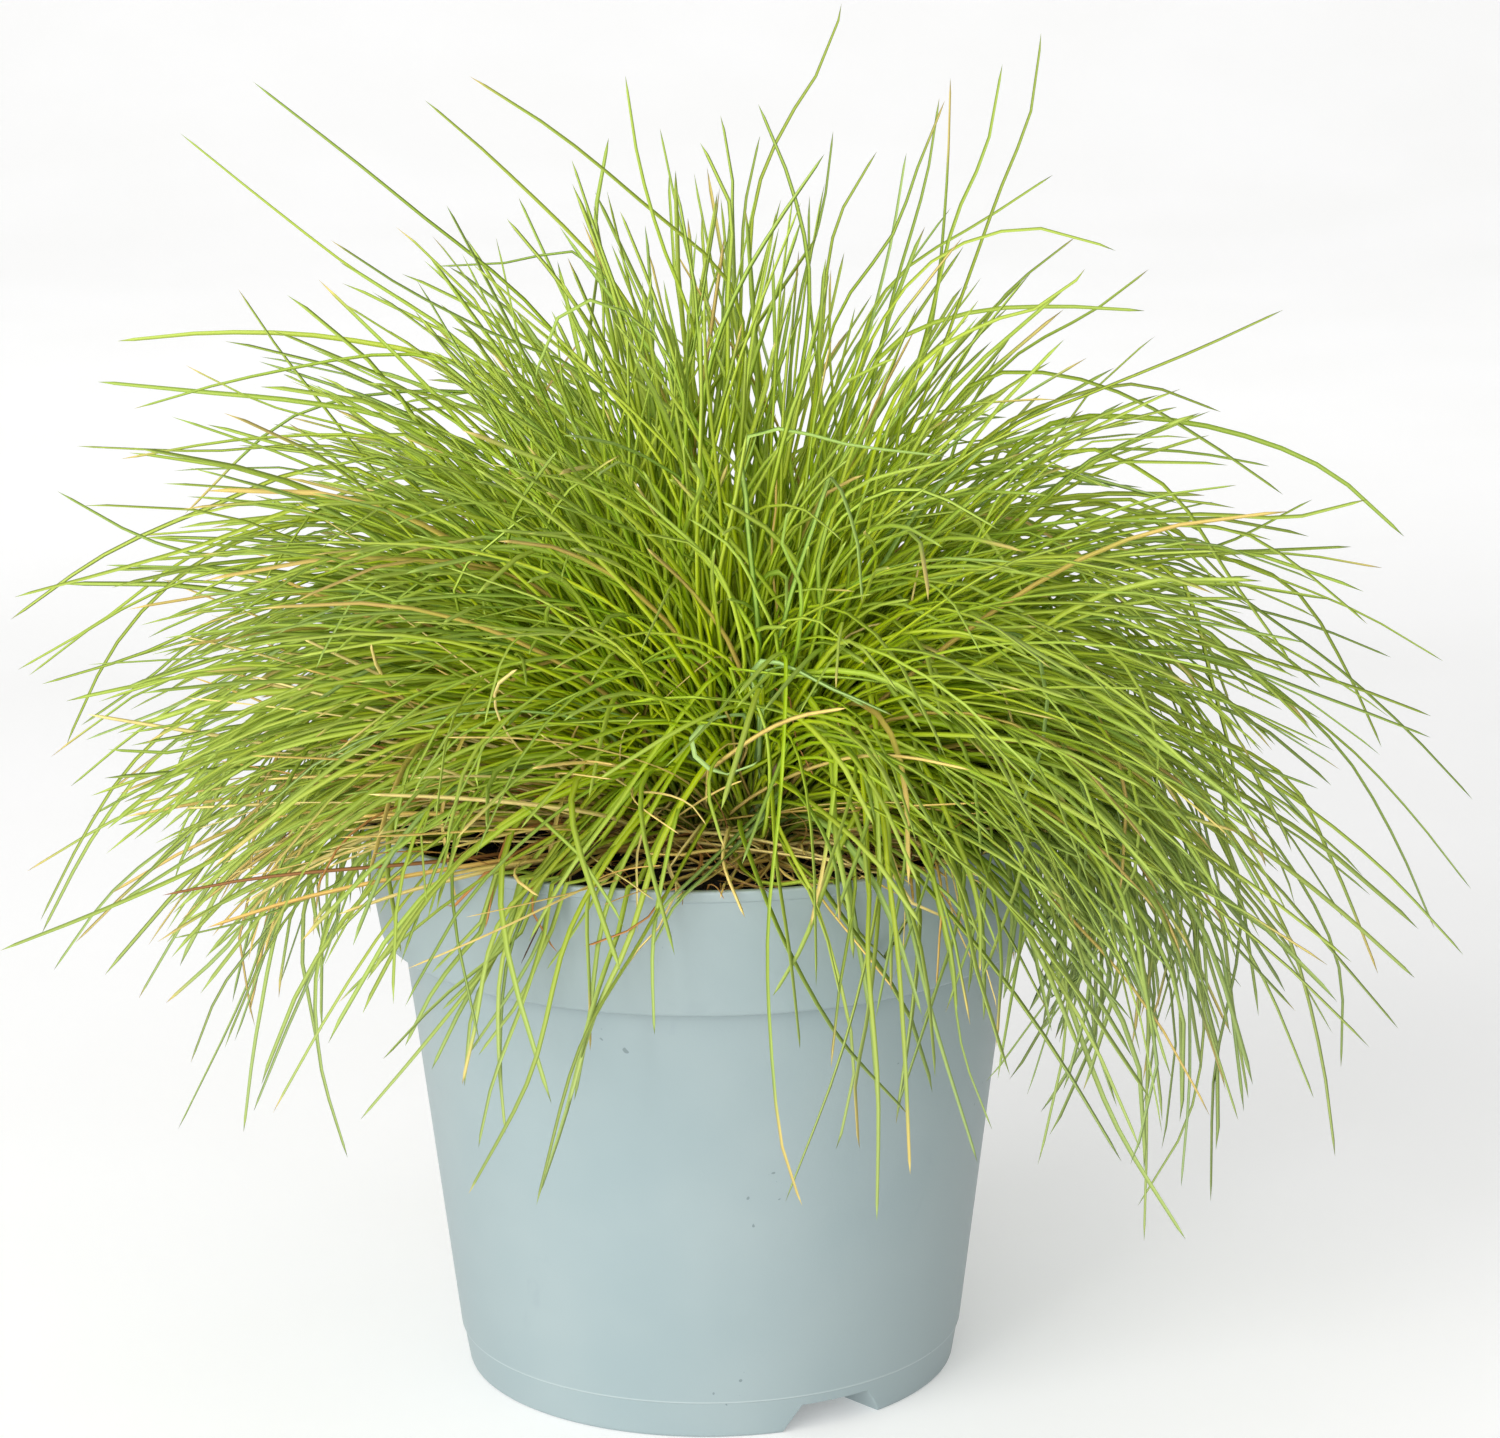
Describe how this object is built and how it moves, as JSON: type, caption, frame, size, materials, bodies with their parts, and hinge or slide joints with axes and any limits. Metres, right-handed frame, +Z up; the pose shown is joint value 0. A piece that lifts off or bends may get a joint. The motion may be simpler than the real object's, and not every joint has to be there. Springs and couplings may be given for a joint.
{
  "type": "potted blue fescue clump",
  "caption": "Clump of fine arching grass leaves in a round plastic nursery pot, filled with peat, that stands on its foot ring.",
  "frame": {"origin": "the pot's axis in the plane that its foot ring stands on, under the middle of the clump's box", "axes": "+Z up along the pot's axis, -Y towards the front of the pot, +X to its right; the foot's drain notches are 29 degrees to the right of the front and opposite that"},
  "size_m": [0.3, 0.2996, 0.275],
  "materials": {
    "pot_plastic": "satin",
    "peat": "matte",
    "crown_sheaths": "matte",
    "leaf": "satin",
    "dead_straw": "matte"
  },
  "bodies": {
    "root": {"pot": "pot_plastic", "soil": "peat", "crown": "crown_sheaths", "tuft_01": "leaf", "tuft_02": "leaf", "tuft_03": "leaf", "tuft_04": "leaf", "tuft_05": "leaf", "tuft_06": "leaf", "tuft_07": "leaf", "tuft_08": "leaf", "tuft_09": "leaf", "tuft_10": "leaf", "tuft_11": "leaf", "tuft_12": "leaf", "tuft_13": "leaf", "tuft_14": "leaf", "tuft_15": "leaf", "tuft_16": "leaf", "tuft_17": "leaf", "tuft_18": "leaf", "tuft_19": "leaf", "tuft_20": "leaf", "tuft_21": "leaf", "tuft_22": "leaf", "tuft_23": "leaf", "tuft_24": "leaf", "tuft_25": "leaf", "tuft_26": "leaf", "tuft_27": "leaf", "tuft_28": "leaf", "tuft_29": "leaf", "tuft_30": "leaf", "tuft_31": "leaf", "tuft_32": "leaf", "tuft_33": "leaf", "tuft_34": "leaf", "long_blade_01": "leaf", "long_blade_02": "leaf", "long_blade_03": "leaf", "long_blade_04": "leaf", "long_blade_05": "leaf", "long_blade_06": "leaf", "long_blade_07": "leaf", "long_blade_08": "leaf", "long_blade_09": "leaf", "long_blade_10": "leaf", "long_blade_11": "leaf", "long_blade_12": "leaf", "dead_straw_1": "dead_straw", "dead_straw_2": "dead_straw", "dead_straw_3": "dead_straw", "dead_straw_4": "dead_straw", "dead_straw_5": "dead_straw", "dead_straw_6": "dead_straw"}
  },
  "joints": []
}
